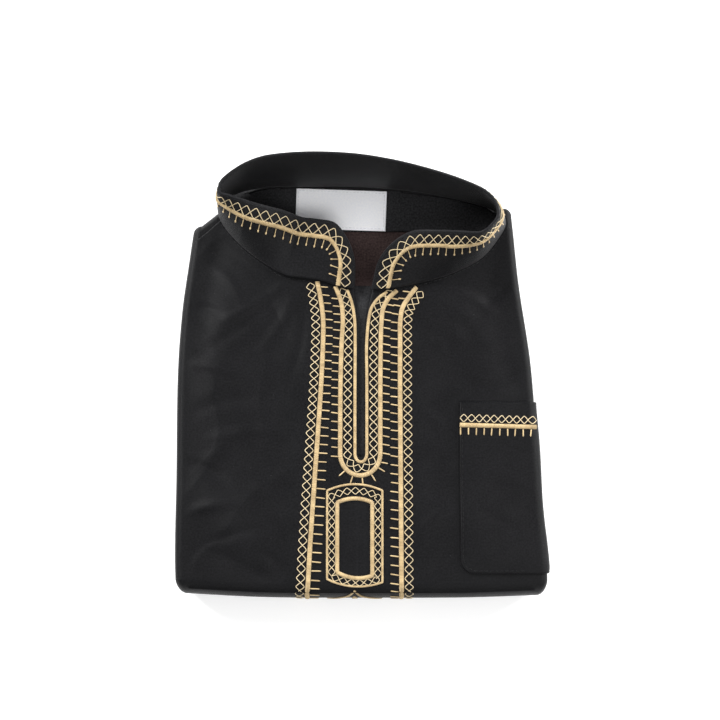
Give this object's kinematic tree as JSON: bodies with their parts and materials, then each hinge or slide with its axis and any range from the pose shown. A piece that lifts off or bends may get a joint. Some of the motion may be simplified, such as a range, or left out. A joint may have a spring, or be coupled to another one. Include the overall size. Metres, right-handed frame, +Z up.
{
  "type": "folded qamis",
  "caption": "Long stand-collar shirt folded flat into a rectangular pack, collar open at the front, stitched trims down the placket.",
  "frame": {"origin": "middle of the folded pack's underside", "axes": "+X to the viewer's right, +Y towards the collar, +Z up from the table"},
  "size_m": [0.2233, 0.2633, 0.0631],
  "materials": {
    "shell_cloth": "matte twill with a soft sheen",
    "folded_cloth": "matte twill",
    "facing_cloth": "matte",
    "lining_cloth": "matte",
    "label_cloth": "woven satin",
    "gold_thread": "silky thread"
  },
  "bodies": {
    "root": {"folded_layers": "folded_cloth", "front_panel": "shell_cloth", "back_panel": "shell_cloth", "back_inside": "lining_cloth", "neck_facing": "facing_cloth", "label": "label_cloth", "placket_underlap": "shell_cloth", "collar": "shell_cloth", "collar_trim": "gold_thread", "trim_outer_left": "gold_thread", "trim_outer_right": "gold_thread", "trim_middle": "gold_thread", "trim_inner": "gold_thread", "trim_frame_outer": "gold_thread", "trim_frame_inner": "gold_thread", "trim_peak": "gold_thread", "pocket": "shell_cloth", "pocket_trim": "gold_thread"}
  },
  "joints": []
}
